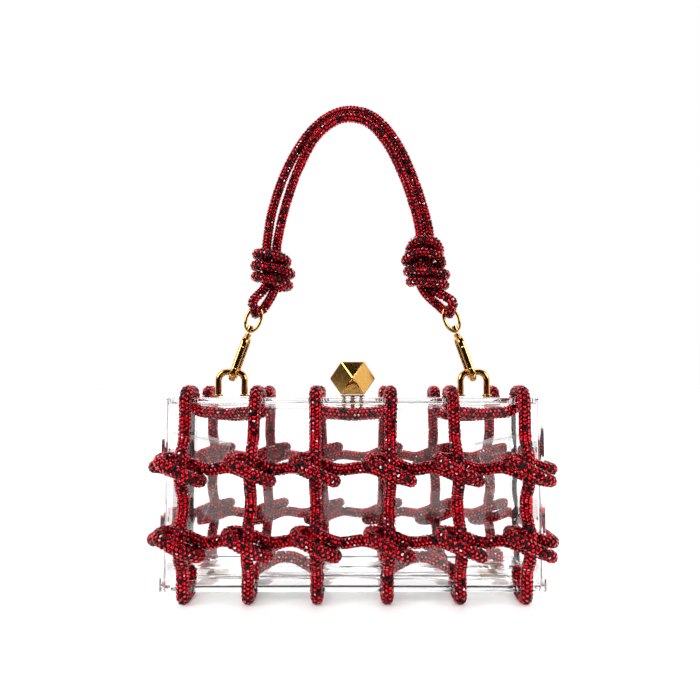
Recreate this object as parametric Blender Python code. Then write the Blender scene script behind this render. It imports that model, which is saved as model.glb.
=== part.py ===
"""A clear box clutch in a knotted net of rhinestone rope, with a rope handle clipped to its top.

Metres, +Z up, the front towards -Y. The origin is on the surface that the clutch stands on, under the
middle of the box. The box is two clear trays, one in front and one behind, hinged along the bottom. Each
tray has its own net: three rope loops run over its panel from bottom to top, and one closed rope crosses
them in two rows, with a round turn at every crossing.
"""

from math import cos, pi, radians, sin, tan

import bmesh
import bpy
from mathutils import Matrix, Vector

MM = 0.001

# Box
BOX_WIDTH = 200 * MM
BOX_DEPTH = 70 * MM
BOX_HEIGHT = 99.7 * MM
WALL = 3 * MM
SEAM_GAP = 0.6 * MM
CLEARANCE = 0.3 * MM

# Net
ROPE_DIAMETER = 6 * MM
ROPE_STANDOFF = 0.5 * MM
PANEL_CORNER_BEND = 4.3 * MM
HOLE_BEND = 4.2 * MM
HOLE_CLEARANCE = 1.1 * MM
HOLE_SETBACK = 19 * MM
# Where the uprights cross the bottom's and the top's edge, as shares of the box's width from its middle.
UPRIGHTS = (
    {"bottom": -0.4350, "top": -0.4350},
    {"bottom": -0.2690, "top": -0.2540},
    {"bottom": -0.0920, "top": -0.0985},
    {"bottom": 0.0880, "top": 0.1000},
    {"bottom": 0.2750, "top": 0.2600},
    {"bottom": 0.4430, "top": 0.4450},
)
# Rows' heights as shares of the box's height, upper and lower.
FRONT_ROWS = (0.637 * BOX_HEIGHT, 0.265 * BOX_HEIGHT)
BACK_ROWS = (0.665 * BOX_HEIGHT, 0.293 * BOX_HEIGHT)
FESTOON_DROP = 6.5 * MM
FESTOON_SAG = 1.5 * MM
ARCH_RISE = 6.9 * MM
ARCH_CROWN = 7.5 * MM
ROPE_JOIN = 0.3 * MM
STUB_RISE = 8 * MM

# A round turn, seen from outside: across the panel, out from it, up, as shares of the rope's diameter.
TURN_STEP = 1.15
TURN_LEAN = -0.1
ROUND_TURN = (
    {"across": -1.90, "out": 0.0, "up": 0.10},
    {"across": 0.10, "out": 0.0, "up": -0.66},
    {"across": 1.60, "out": 0.45, "up": -0.95},
    {"across": 1.25, "out": 1.95, "up": -0.60},
    {"across": -1.25, "out": 1.95, "up": 0.60},
    {"across": -1.60, "out": 0.45, "up": 0.95},
    {"across": -0.10, "out": 0.0, "up": 0.66},
    {"across": 1.90, "out": 0.0, "up": -0.10},
)
BULGE_FOOT = 14.4 * MM
BULGE_CROWN = 7 * MM
SIDE_STRAND_SETBACK = 8 * MM
SIDE_BEND = 6 * MM
EDGE_SHARE = 0.78

# Side gussets
GUSSET_THICKNESS = 0.8 * MM
GUSSET_SEAM_SETBACK = 22 * MM
GUSSET_TAB = 7 * MM
GUSSET_TOP = 82 * MM
GUSSET_CREASE_DIP = 7 * MM
GUSSET_FOOT = 8 * MM
GUSSET_DEPTH = 28 * MM
GUSSET_FOOT_DEPTH = 4 * MM
RIVET_RADIUS = 1.5 * MM
RIVET_HEIGHT = 0.9 * MM
RIVET_ABOVE_ROW = 9 * MM

# Hinges under the bottom
HINGE_X = 0.3825 * BOX_WIDTH
HINGE_LENGTH = 10 * MM
HINGE_MIDDLE = 3.8 * MM
HINGE_PLAY = 0.3 * MM
LEAF_THICKNESS = 1 * MM
LEAF_WIDTH = 8 * MM
KNUCKLE_RADIUS = 1.9 * MM
PIN_RADIUS = 0.7 * MM
HINGE_DROP = 2.7 * MM

# Clasp
KNOB_HALF = 9.4 * MM
KNOB_EDGE = 0.4 * MM
CLASP_PLATE = {"width": 14 * MM, "depth": 10 * MM, "thickness": 0.8 * MM}
STUD_RADIUS = 1.15 * MM
STUD_LENGTH = 8 * MM
SCREW_SPACING = 10 * MM
SCREW_SETBACK = 2.8 * MM
SCREW_RADIUS = 0.9 * MM
SCREW_HEAD_RADIUS = 1.7 * MM
SCREW_HEAD = 1.2 * MM

# Staples that the handle clips to
STAPLE_X = 0.3565 * BOX_WIDTH
STAPLE_SETBACK = 5 * MM
STAPLE_WIRE = 3.75 * MM
STAPLE_WIDTH = 19.1 * MM
STAPLE_HEIGHT = 16.5 * MM
STAPLE_BEND = 5 * MM
COLLAR_RADIUS = 2.8 * MM
COLLAR_HEIGHT = 1.2 * MM

# Snap clips: along the clip's own axis from the staple's bar, and across it
CLIP_INSET = 1.8 * MM
CLIP_LEAN = radians(19.5)
CLIP_THICKNESS = 4 * MM
CLIP_WIRE = 2.6 * MM
CLIP_INSIDE = 6.4 * MM
CLIP_FOOT = 0.0 * MM
CLIP_HEAD = 17.4 * MM
GATE_LOW = 2.3 * MM
GATE_HIGH = 15.5 * MM
NECK_RADIUS = 1.3 * MM
EYE_RISE = 33.2 * MM
EYE_SIDE = 0.3 * MM
EYE_WIDTH = 10.4 * MM
EYE_HEIGHT = 17.2 * MM
EYE_WIRE = 1.9 * MM
BARREL_RADIUS = 1.6 * MM
BARREL_HEIGHT = 3.4 * MM

# Handle: one closed rope laid double, knotted above each clip
HANDLE_ROPE = 5.4 * MM
STRANDS_APART = 5.9 * MM
STRANDS_TOUCH = 5.75 * MM
HANDLE_LOOP_BEND = 4.6 * MM
# The strand's way round the top of an eye: outwards, back and up, as shares of the loop's bend.
EYE_LOOP = (
    {"out": 0.7, "back": -1.0, "up": 0.4},
    {"out": 0.0, "back": -0.85, "up": -0.6},
    {"out": 0.0, "back": 0.0, "up": -1.0},
    {"out": 0.0, "back": 0.85, "up": -0.6},
    {"out": -0.6, "back": 1.0, "up": 0.2},
)
# Each wrap of a knot: where its left and right ends lie from the knot's middle, and how far its front bows up.
KNOTS = {
    "left": {"x": -48.4 * MM, "rise": 75.5 * MM, "below": 11.2 * MM, "above": 9.5 * MM, "wraps": (
        {"left": -8.6 * MM, "left_up": 8.8 * MM, "right": 9.2 * MM, "right_up": 4.8 * MM, "bow": 1.2 * MM},
        {"left": -9.6 * MM, "left_up": 2.3 * MM, "right": 11.6 * MM, "right_up": -2.4 * MM, "bow": 0.4 * MM},
        {"left": -9.4 * MM, "left_up": -4.2 * MM, "right": 10.4 * MM, "right_up": -9.4 * MM, "bow": 0.0 * MM},
    )},
    "right": {"x": 43.2 * MM, "rise": 79.3 * MM, "below": 15.6 * MM, "above": 13 * MM, "wraps": (
        {"left": -9.0 * MM, "left_up": 7.6 * MM, "right": 8.6 * MM, "right_up": 6.2 * MM, "bow": 6.0 * MM},
        {"left": -11.4 * MM, "left_up": 1.4 * MM, "right": 9.8 * MM, "right_up": -0.4 * MM, "bow": 5.0 * MM},
        {"left": -10.4 * MM, "left_up": -4.8 * MM, "right": 12.2 * MM, "right_up": -7.0 * MM, "bow": 0.0 * MM},
        {"left": -8.8 * MM, "left_up": -10.8 * MM, "right": 11.6 * MM, "right_up": -13.2 * MM, "bow": 0.0 * MM},
    )},
}
# The handle's middle line between the knots: how far to the side of the box's middle and above its top, and how
# far apart its strands look from the front. Where that is less than STRANDS_TOUCH, one lies partly behind.
HANDLE_ARCH = (
    {"x": -47.2 * MM, "rise": 97 * MM, "apart": 6.3 * MM},
    {"x": -41.5 * MM, "rise": 122 * MM, "apart": 7.0 * MM},
    {"x": -29.5 * MM, "rise": 150 * MM, "apart": 5.5 * MM},
    {"x": -15.3 * MM, "rise": 166 * MM, "apart": 5.2 * MM},
    {"x": -1.0 * MM, "rise": 170.8 * MM, "apart": 5.3 * MM},
    {"x": 14.6 * MM, "rise": 164.6 * MM, "apart": 5.5 * MM},
    {"x": 28.4 * MM, "rise": 144.6 * MM, "apart": 5.6 * MM},
    {"x": 38.2 * MM, "rise": 118.4 * MM, "apart": 5.5 * MM},
    {"x": 42.6 * MM, "rise": 101 * MM, "apart": 5.6 * MM},
)
KNOT_ROPE = 5.6 * MM
KNOT_DEPTH = 18.6 * MM
KNOT_PITCH = 6.2 * MM
KNOT_FULLNESS = 0.8
KNOT_STEPS = 6

# How finely the ropes are drawn
ROPE_FAIR = 0.6 * MM
BEND_STEP = radians(45)
REST_SPAN = (0.3, 0.7)
ROPE_SIDES = 8

ROPE_RADIUS = ROPE_DIAMETER / 2
ROPE_FLAT = ROPE_RADIUS * cos(pi / ROPE_SIDES)
BOX_BOTTOM = ROPE_FLAT + ROPE_RADIUS + ROPE_STANDOFF
BOX_TOP = BOX_BOTTOM + BOX_HEIGHT
PANEL = BOX_DEPTH / 2
SIDE = BOX_WIDTH / 2
ROPE_OUT = ROPE_RADIUS + ROPE_STANDOFF
HINGE_Z = BOX_BOTTOM - HINGE_DROP
STAPLE_BAR_Z = BOX_TOP + STAPLE_HEIGHT - STAPLE_WIRE / 2

FINISHES = {
    "acrylic": {"colour": (0.93, 0.95, 0.95, 1), "roughness": 0.05, "metallic": 0},
    "pvc": {"colour": (0.88, 0.9, 0.9, 1), "roughness": 0.15, "metallic": 0},
    "rhinestone": {"colour": (0.72, 0.01, 0.03, 1), "roughness": 0.2, "metallic": 0},
    "gold": {"colour": (0.86, 0.62, 0.28, 1), "roughness": 0.18, "metallic": 1},
}


def clear_scene():
    for obj in list(bpy.data.objects):
        bpy.data.objects.remove(obj, do_unlink=True)


def finish_material(name):
    material = bpy.data.materials.get(name)
    if material:
        return material
    material = bpy.data.materials.new(name)
    material.use_nodes = True
    shader = material.node_tree.nodes["Principled BSDF"]
    shader.inputs["Base Color"].default_value = FINISHES[name]["colour"]
    shader.inputs["Roughness"].default_value = FINISHES[name]["roughness"]
    shader.inputs["Metallic"].default_value = FINISHES[name]["metallic"]
    return material


def place(obj, finish):
    bpy.context.scene.collection.objects.link(obj)
    obj.data.materials.append(finish_material(finish))
    return obj


def mesh_object(name, bm, finish):
    mesh = bpy.data.meshes.new(name)
    bmesh.ops.recalc_face_normals(bm, faces=bm.faces)
    bm.to_mesh(mesh)
    bm.free()
    return place(bpy.data.objects.new(name, mesh), finish)


def add_block(bm, low, high):
    low, high = Vector(low), Vector(high)
    made = bmesh.ops.create_cube(bm, size=1)["verts"]
    for vert in made:
        vert.co = Vector([(low[i] + high[i]) / 2 + vert.co[i] * (high[i] - low[i]) for i in range(3)])
    return made


def add_rod(bm, start, end, radius, sides):
    start, end = Vector(start), Vector(end)
    turn = (end - start).to_track_quat("Z", "Y").to_matrix().to_4x4()
    matrix = Matrix.Translation((start + end) / 2) @ turn
    return bmesh.ops.create_cone(
        bm, cap_ends=True, segments=sides, radius1=radius, radius2=radius,
        depth=(end - start).length, matrix=matrix,
    )["verts"]


def helper(bm, name):
    """A cutter or a piece to be joined on: kept out of the model itself."""
    obj = mesh_object(name, bm, "acrylic")
    obj.hide_render = True
    obj.display_type = "WIRE"
    return obj


def boolean(obj, other, operation):
    change = obj.modifiers.new(other.name, "BOOLEAN")
    change.operation = operation
    change.object = other
    change.solver = "EXACT"
    change.use_self = operation == "UNION"


def rounded(corners):
    """The route through these corners, each a point and the radius of its bend, with few points on a bend."""
    route = []
    for i, (point, radius) in enumerate(corners):
        point = Vector(point)
        if not radius:
            route.append(point)
            continue
        before = (Vector(corners[i - 1][0]) - point).normalized()
        after = (Vector(corners[i + 1][0]) - point).normalized()
        half = before.angle(after) / 2
        sweep = pi - 2 * half
        centre = point + (before + after).normalized() * radius / sin(half)
        start = point + before * radius / tan(half) - centre
        axis = before.cross(after).normalized()
        steps = max(1, round(sweep / BEND_STEP))
        for k in range(steps + 1):
            route.append(centre + Matrix.Rotation(-sweep * k / steps, 3, axis) @ start)
    return route


def smooth(points, closed=False, steps=6):
    """A smooth curve through these points."""
    points = [Vector(point) for point in points]
    count = len(points)
    route = []
    for i in range(count if closed else count - 1):
        if closed:
            p0, p1, p2, p3 = (points[(i + k) % count] for k in (-1, 0, 1, 2))
        else:
            p0, p1, p2, p3 = (points[min(max(i + k, 0), count - 1)] for k in (-1, 0, 1, 2))
        for k in range(steps):
            t = k / steps
            route.append(
                0.5 * (2 * p1 + (p2 - p0) * t + (2 * p0 - 5 * p1 + 4 * p2 - p3) * t * t
                       + (3 * p1 - p0 - 3 * p2 + p3) * t ** 3)
            )
    if not closed:
        route.append(points[-1])
    return route


def thinned(route):
    """Only the points that the route's bends need: what is left out lies within ROPE_FAIR of the rest."""
    start, end = route[0], route[-1]
    along = end - start
    furthest, most = 0, ROPE_FAIR
    for i, point in enumerate(route[1:-1], 1):
        share = (point - start).dot(along) / along.length_squared if along.length else 0
        off = (point - start - along * min(max(share, 0), 1)).length
        if off > most:
            furthest, most = i, off
    if not furthest:
        return [start, end]
    return thinned(route[:furthest + 1]) + thinned(route[furthest:])[1:]


def rope(name, route, diameter, closed=False, finish="rhinestone"):
    """A round rope along the route, with one of its sides flat against whatever it lies along."""
    curve = bpy.data.curves.new(name, "CURVE")
    curve.dimensions = "3D"
    curve.bevel_depth = diameter / 2
    curve.bevel_resolution = (ROPE_SIDES - 4) // 2
    curve.use_fill_caps = True
    spline = curve.splines.new("POLY")
    spline.points.add(len(route) - 1)
    spline.use_cyclic_u = closed
    for target, point in zip(spline.points, route):
        target.co = (*point, 1)
        target.tilt = pi / ROPE_SIDES
    return place(bpy.data.objects.new(name, curve), finish)


def turned_round(route):
    """The same route on the back tray, half a turn round the middle of the box."""
    return [Vector((-x, -y, z)) for x, y, z in route]


def upright_x(upright, height):
    """Where this upright stands at a height above the box's bottom."""
    share = height / BOX_HEIGHT
    return BOX_WIDTH * (upright["bottom"] * (1 - share) + upright["top"] * share)


def upright_corners(upright, inner, inner_bend, rows):
    """Bottom to top: out of the bottom's hole, up the panel over the rows' round turns, down the top's hole."""
    low, high = upright_x(upright, 0), upright_x(upright, BOX_HEIGHT)
    face = -(PANEL + ROPE_OUT)
    hole = -HOLE_SETBACK
    raised = face - TURN_STEP * ROPE_DIAMETER
    corners = [(inner, inner_bend), ((low, hole, ROPE_FLAT), HOLE_BEND)]
    corners += [((low, hole + (face - hole) * share, ROPE_FLAT), 0) for share in REST_SPAN]
    corners.append(((low, face, ROPE_FLAT), PANEL_CORNER_BEND))
    for row in sorted(rows):
        for y, away in ((face, -BULGE_FOOT), (raised, -BULGE_CROWN), (raised, BULGE_CROWN), (face, BULGE_FOOT)):
            corners.append(((upright_x(upright, row + away), y, BOX_BOTTOM + row + away), 0))
    return corners + [
        ((high, face, BOX_TOP + ROPE_OUT), PANEL_CORNER_BEND),
        ((high, hole, BOX_TOP + ROPE_OUT), HOLE_BEND),
        ((high, hole, BOX_TOP - FESTOON_DROP), HOLE_BEND),
    ]


def rope_end(upright, toward):
    """Where a loop of the net ends inside the bottom: halfway along the arch to its neighbour, or in a stub."""
    hole = -HOLE_SETBACK
    floor = BOX_BOTTOM + ARCH_RISE
    x = upright_x(upright, 0)
    if toward is None:
        return [((x, hole, BOX_BOTTOM + STUB_RISE), 0)]
    middle = (x + upright_x(toward, 0)) / 2
    near = 1 if middle < x else -1
    crown = floor + ARCH_CROWN
    return [((middle + near * ROPE_JOIN / 2, hole, crown), 0), ((middle + near * HOLE_BEND, hole, crown), HOLE_BEND),
            ((x, hole, floor), HOLE_BEND)]


def net_loop(left, right, outer_left, outer_right, rows):
    """One loop of the net: up one panel upright, along a festoon under the top, and down the next."""
    def half(upright, toward):
        corners = rope_end(upright, toward)
        return corners[:-1] + upright_corners(upright, *corners[-1], rows)

    middle = (upright_x(left, BOX_HEIGHT) + upright_x(right, BOX_HEIGHT)) / 2
    lowest = (middle, -HOLE_SETBACK, BOX_TOP - FESTOON_DROP - FESTOON_SAG)
    return rounded(half(left, outer_left) + [(lowest, 0)] + half(right, outer_right)[::-1])


def row_points(row, direction):
    """One row across the panel, with a round turn at each upright."""
    points = []
    for upright in UPRIGHTS:
        for step in ROUND_TURN:
            points.append((
                upright_x(upright, row) + step["across"] * ROPE_DIAMETER,
                -(PANEL + ROPE_OUT) - step["out"] * TURN_STEP * ROPE_DIAMETER,
                BOX_BOTTOM + row + step["up"] * ROPE_DIAMETER,
            ))
    return points[::direction]


def side_points(row_from, row_to, side):
    """From one row to the other on a side wall: back towards the seam, down or up, and forward again."""
    wall = side * (SIDE + ROPE_OUT)
    shift = side * TURN_LEAN * ROPE_DIAMETER
    start, end = BOX_BOTTOM + row_from + shift, BOX_BOTTOM + row_to + shift
    back = -SIDE_STRAND_SETBACK
    corners = [((wall, -PANEL, start), 0), ((wall, back, start), SIDE_BEND),
               ((wall, back, end), SIDE_BEND), ((wall, -PANEL, end), 0)]
    edge_x, edge_y = side * (SIDE + EDGE_SHARE * ROPE_OUT), -(PANEL + EDGE_SHARE * ROPE_OUT)
    return [(edge_x, edge_y, start)] + rounded(corners) + [(edge_x, edge_y, end)]


def row_loop(rows):
    upper, lower = rows
    points = row_points(upper, 1) + side_points(upper, lower, 1)
    points += row_points(lower, -1) + side_points(lower, upper, -1)
    return points


def net():
    loops = {"left": (0, 1), "middle": (2, 3), "right": (4, 5)}
    for half, rows, turn in (("front", FRONT_ROWS, False), ("back", BACK_ROWS, True)):
        for side, (first, second) in loops.items():
            before = UPRIGHTS[first - 1] if first else None
            after = UPRIGHTS[second + 1] if second + 1 < len(UPRIGHTS) else None
            route = net_loop(UPRIGHTS[first], UPRIGHTS[second], before, after, rows)
            rope(f"{half}_rope_{side}", turned_round(route) if turn else route, ROPE_DIAMETER)
        route = row_loop(rows)
        rope(f"{half}_row_rope", turned_round(route) if turn else route, ROPE_DIAMETER, closed=True)


def tray(name, back):
    """Half of the box: a panel with four walls, open towards the seam."""
    face = PANEL if back else -PANEL
    seam = SEAM_GAP / 2 if back else -SEAM_GAP / 2
    bm = bmesh.new()
    add_block(bm, (-SIDE, min(face, seam), BOX_BOTTOM), (SIDE, max(face, seam), BOX_TOP))
    bmesh.ops.recalc_face_normals(bm, faces=bm.faces)
    mouth = max(bm.faces, key=lambda f: -abs(f.calc_center_median().y - seam))
    bmesh.ops.inset_region(bm, faces=[mouth], thickness=WALL, use_even_offset=True)
    inside = bmesh.ops.extrude_discrete_faces(bm, faces=[mouth])["faces"][0]
    for vert in inside.verts:
        vert.co.y = face - WALL if back else face + WALL
    obj = mesh_object(name, bm, "acrylic")
    boolean(obj, tray_cutter(name + "_holes", back), "DIFFERENCE")
    return obj


def tray_cutter(name, back):
    """The rope holes in the top and the bottom, and the clasp's stud and screw holes."""
    toward = 1 if back else -1
    bm = bmesh.new()
    radius = (ROPE_DIAMETER + 2 * HOLE_CLEARANCE) / 2
    for upright in UPRIGHTS:
        for height in (0, BOX_HEIGHT):
            x, y, z = -toward * upright_x(upright, height), toward * HOLE_SETBACK, BOX_BOTTOM + height
            add_rod(bm, (x, y, z - 2 * WALL), (x, y, z + 2 * WALL), radius, 8)
    under, over = BOX_TOP - 2 * WALL, BOX_TOP + WALL
    add_rod(bm, (0, 0, under), (0, 0, over), STUD_RADIUS + CLEARANCE, 8)
    if back:
        for x in (-SCREW_SPACING / 2, SCREW_SPACING / 2):
            add_rod(bm, (x, SCREW_SETBACK, under), (x, SCREW_SETBACK, over), SCREW_RADIUS + CLEARANCE, 8)
    return helper(bm, name)


def gusset(name, side):
    """A thin clear sheet folded inwards between the two side walls, with a tab riveted to each."""
    wall = SIDE - WALL - CLEARANCE - GUSSET_THICKNESS / 2
    levels = 3
    bm = bmesh.new()
    rows = []
    for k in range(levels + 1):
        share = k / levels
        height = BOX_BOTTOM + GUSSET_FOOT + share * (GUSSET_TOP - GUSSET_FOOT)
        depth = GUSSET_FOOT_DEPTH + share * (GUSSET_DEPTH - GUSSET_FOOT_DEPTH)
        dip = share * GUSSET_CREASE_DIP
        outline = (
            (wall, -GUSSET_SEAM_SETBACK - GUSSET_TAB, 0),
            (wall, -GUSSET_SEAM_SETBACK, 0),
            (wall - depth, 0, dip),
            (wall, GUSSET_SEAM_SETBACK, 0),
            (wall, GUSSET_SEAM_SETBACK + GUSSET_TAB, 0),
        )
        rows.append([bm.verts.new((side * x, y, height - down)) for x, y, down in outline])
    for low, high in zip(rows, rows[1:]):
        for i in range(len(low) - 1):
            bm.faces.new((low[i], low[i + 1], high[i + 1], high[i]))
    obj = mesh_object(name, bm, "pvc")
    wall_modifier = obj.modifiers.new("thickness", "SOLIDIFY")
    wall_modifier.thickness = GUSSET_THICKNESS
    wall_modifier.offset = 0
    return obj


def rivets():
    for side_name, side in (("left", -1), ("right", 1)):
        for half, toward, rows in (("front", -1, FRONT_ROWS), ("back", 1, BACK_ROWS)):
            for level, row in zip(("upper", "lower"), rows):
                y = toward * (GUSSET_SEAM_SETBACK + GUSSET_TAB / 2)
                z = BOX_BOTTOM + row + RIVET_ABOVE_ROW
                inner = side * (SIDE + CLEARANCE)
                bm = bmesh.new()
                verts = add_rod(bm, (inner, y, z), (inner + side * RIVET_HEIGHT, y, z), RIVET_RADIUS, 8)
                outer = [v for v in verts if abs(v.co.x) > abs(inner) + RIVET_HEIGHT / 2]
                bmesh.ops.scale(bm, vec=(1, 0.6, 0.6), verts=outer,
                                space=Matrix.Translation((-inner, -y, -z)))
                mesh_object(f"rivet_{side_name}_{half}_{level}", bm, "gold")


def knuckle(bm, start, end, hole):
    """A tube along X with an open bore for the pin."""
    sides = 8
    rings = []
    for x, radius in ((start, KNUCKLE_RADIUS), (end, KNUCKLE_RADIUS), (end, hole), (start, hole)):
        rings.append([
            bm.verts.new((x, radius * cos(2 * pi * k / sides), HINGE_Z + radius * sin(2 * pi * k / sides)))
            for k in range(sides)
        ])
    for ring, following in zip(rings, rings[1:] + rings[:1]):
        for k in range(sides):
            bm.faces.new((ring[k], ring[(k + 1) % sides], following[(k + 1) % sides], following[k]))


def hinge(side_name, centre):
    """Two leaves under the bottom, one on each tray, and the pin that both turn on."""
    half, middle = HINGE_LENGTH / 2, HINGE_MIDDLE / 2
    bore = PIN_RADIUS + CLEARANCE
    leaf_top = BOX_BOTTOM - CLEARANCE
    leaf_low = leaf_top - LEAF_THICKNESS
    reach = KNUCKLE_RADIUS + CLEARANCE
    spans = {
        "front": ((centre - middle, centre + middle),),
        "back": ((centre - half, centre - middle - HINGE_PLAY), (centre + middle + HINGE_PLAY, centre + half)),
    }
    for tray_name, toward in (("front", -1), ("back", 1)):
        bm = bmesh.new()
        y0, y1 = sorted((toward * reach, toward * LEAF_WIDTH))
        add_block(bm, (centre - half, y0, leaf_low), (centre + half, y1, leaf_top))
        leaf = mesh_object(f"hinge_{side_name}_{tray_name}_leaf", bm, "gold")
        for k, (start, end) in enumerate(spans[tray_name]):
            extra = bmesh.new()
            knuckle(extra, start, end, bore)
            boolean(leaf, helper(extra, f"{leaf.name}_knuckle_{k}"), "UNION")
            arm = bmesh.new()
            a0, a1 = sorted((toward * (bore + CLEARANCE), toward * (reach + LEAF_THICKNESS)))
            add_block(arm, (start, a0, HINGE_Z + bore * 0.6), (end, a1, leaf_low + LEAF_THICKNESS / 2))
            boolean(leaf, helper(arm, f"{leaf.name}_arm_{k}"), "UNION")
    bm = bmesh.new()
    add_rod(bm, (centre - half, 0, HINGE_Z), (centre + half, 0, HINGE_Z), PIN_RADIUS, 8)
    mesh_object(f"hinge_{side_name}_pin", bm, "gold")


def clasp():
    """A cut knob on a small plate. The plate is screwed to the back tray and its stud stands in the seam."""
    plate_low = BOX_TOP + CLEARANCE
    plate_top = plate_low + CLASP_PLATE["thickness"]
    width, depth = CLASP_PLATE["width"], CLASP_PLATE["depth"]
    bm = bmesh.new()
    add_block(bm, (-width / 2, -depth / 2, plate_low), (width / 2, depth / 2, plate_top))
    plate = mesh_object("clasp_plate", bm, "gold")
    bm = bmesh.new()
    add_rod(bm, (0, 0, BOX_TOP - STUD_LENGTH), (0, 0, plate_low + CLASP_PLATE["thickness"] / 2), STUD_RADIUS, 8)
    boolean(plate, helper(bm, "clasp_stud"), "UNION")
    bm = bmesh.new()
    for x in (-SCREW_SPACING / 2, SCREW_SPACING / 2):
        add_rod(bm, (x, SCREW_SETBACK, BOX_TOP - WALL - CLEARANCE - SCREW_HEAD),
                (x, SCREW_SETBACK, plate_low + CLASP_PLATE["thickness"] / 2), SCREW_RADIUS, 8)
        add_rod(bm, (x, SCREW_SETBACK, BOX_TOP - WALL - CLEARANCE - SCREW_HEAD),
                (x, SCREW_SETBACK, BOX_TOP - WALL - CLEARANCE), SCREW_HEAD_RADIUS, 8)
    boolean(plate, helper(bm, "clasp_screws"), "UNION")

    bm = bmesh.new()
    half = KNOB_HALF
    centre = plate_top + CLEARANCE + half
    corners = [(a, b, 0) for a in (-half, half) for b in (-half, half)]
    corners += [(a, 0, b) for a in (-half, half) for b in (-half, half)]
    corners += [(0, a, b) for a in (-half, half) for b in (-half, half)]
    turn = Matrix.Rotation(radians(45), 4, "Z")
    for corner in corners:
        bm.verts.new(Matrix.Translation((0, 0, centre)) @ turn @ Vector(corner))
    bmesh.ops.convex_hull(bm, input=bm.verts)
    bmesh.ops.dissolve_limit(bm, angle_limit=radians(1), verts=bm.verts, edges=bm.edges)
    knob = mesh_object("clasp_knob", bm, "gold")
    edge = knob.modifiers.new("edges", "BEVEL")
    edge.width = KNOB_EDGE
    edge.segments = 1


def staple(side_name, side):
    """A wire bow that stands on the back tray's top, on two collars."""
    x = side * STAPLE_X
    half = (STAPLE_WIDTH - STAPLE_WIRE) / 2
    foot = BOX_TOP + CLEARANCE
    corners = [((x - half, STAPLE_SETBACK, foot), 0), ((x - half, STAPLE_SETBACK, STAPLE_BAR_Z), STAPLE_BEND),
               ((x + half, STAPLE_SETBACK, STAPLE_BAR_Z), STAPLE_BEND), ((x + half, STAPLE_SETBACK, foot), 0)]
    bow = rope(f"staple_{side_name}_bow", rounded(corners), STAPLE_WIRE, finish="gold")
    bow.hide_render = True
    bow.display_type = "WIRE"
    mesh = bpy.data.meshes.new_from_object(bow.evaluated_get(bpy.context.evaluated_depsgraph_get()))
    bpy.data.objects.remove(bow, do_unlink=True)
    obj = place(bpy.data.objects.new(f"staple_{side_name}", mesh), "gold")
    for k, offset in enumerate((-half, half)):
        bm = bmesh.new()
        add_rod(bm, (x + offset, STAPLE_SETBACK, foot), (x + offset, STAPLE_SETBACK, foot + COLLAR_HEIGHT),
                COLLAR_RADIUS, 8)
        boolean(obj, helper(bm, f"staple_{side_name}_collar_{k}"), "UNION")
    return obj


def clip_frame(side):
    """The clip's own frame: X across it, Y through the box, Z along it, from the staple's bar."""
    origin = Vector((side * (STAPLE_X - CLIP_INSET), STAPLE_SETBACK, STAPLE_BAR_Z))
    return Matrix.Translation(origin) @ Matrix.Rotation(-side * CLIP_LEAN, 4, "Y")


def link_outline(half_width, low, high, steps=5):
    """A long link seen from its side: two half rounds joined by straights."""
    points = [(half_width * cos(pi * k / steps), high + half_width * sin(pi * k / steps)) for k in range(steps + 1)]
    return points + [(-y, low - (z - high)) for y, z in points]


def clip(side_name, side):
    """The hook round the staple's bar, with its neck, and the gate that closes the hook's front."""
    frame = clip_frame(side)
    inner = CLIP_INSIDE / 2
    bm = bmesh.new()
    loops = []
    for x in (-CLIP_THICKNESS / 2, CLIP_THICKNESS / 2):
        for half_width in (inner + CLIP_WIRE, inner):
            outline = link_outline(half_width, CLIP_FOOT, CLIP_HEAD)
            loops.append([bm.verts.new(frame @ Vector((x, y, z))) for y, z in outline])
    count = len(loops[0])
    for one, other in ((0, 1), (1, 3), (3, 2), (2, 0)):
        for k in range(count):
            after = (k + 1) % count
            bm.faces.new((loops[one][k], loops[one][after], loops[other][after], loops[other][k]))
    hook = mesh_object(f"clip_{side_name}_hook", bm, "gold")

    outside = inner + CLIP_WIRE
    cut = bmesh.new()
    add_block(cut, (-CLIP_THICKNESS, -outside - CLIP_WIRE, GATE_LOW - CLEARANCE),
              (CLIP_THICKNESS, -inner + CLIP_WIRE / 2, GATE_HIGH + CLEARANCE))
    bmesh.ops.transform(cut, matrix=frame, verts=cut.verts)
    boolean(hook, helper(cut, f"clip_{side_name}_gap"), "DIFFERENCE")
    neck = bmesh.new()
    top = EYE_RISE - EYE_HEIGHT / 2 - CLEARANCE
    add_rod(neck, (0, 0, CLIP_HEAD + inner + CLIP_WIRE / 3), (0, 0, top), NECK_RADIUS, 8)
    bmesh.ops.transform(neck, matrix=frame, verts=neck.verts)
    boolean(hook, helper(neck, f"clip_{side_name}_neck"), "UNION")

    bm = bmesh.new()
    add_block(bm, (-CLIP_THICKNESS / 2, -outside, GATE_LOW), (CLIP_THICKNESS / 2, -inner, GATE_HIGH))
    bmesh.ops.bevel(bm, geom=[e for e in bm.edges if abs(e.verts[0].co.x - e.verts[1].co.x) > CLIP_THICKNESS / 2],
                    offset=CLIP_WIRE / 4, segments=1, affect="EDGES")
    pivot = Vector((0, -(inner + outside) / 2, GATE_HIGH - CLIP_WIRE / 2))
    bmesh.ops.translate(bm, vec=-pivot, verts=bm.verts)
    gate = mesh_object(f"clip_{side_name}_gate", bm, "gold")
    gate.matrix_world = frame @ Matrix.Translation(pivot)


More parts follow.
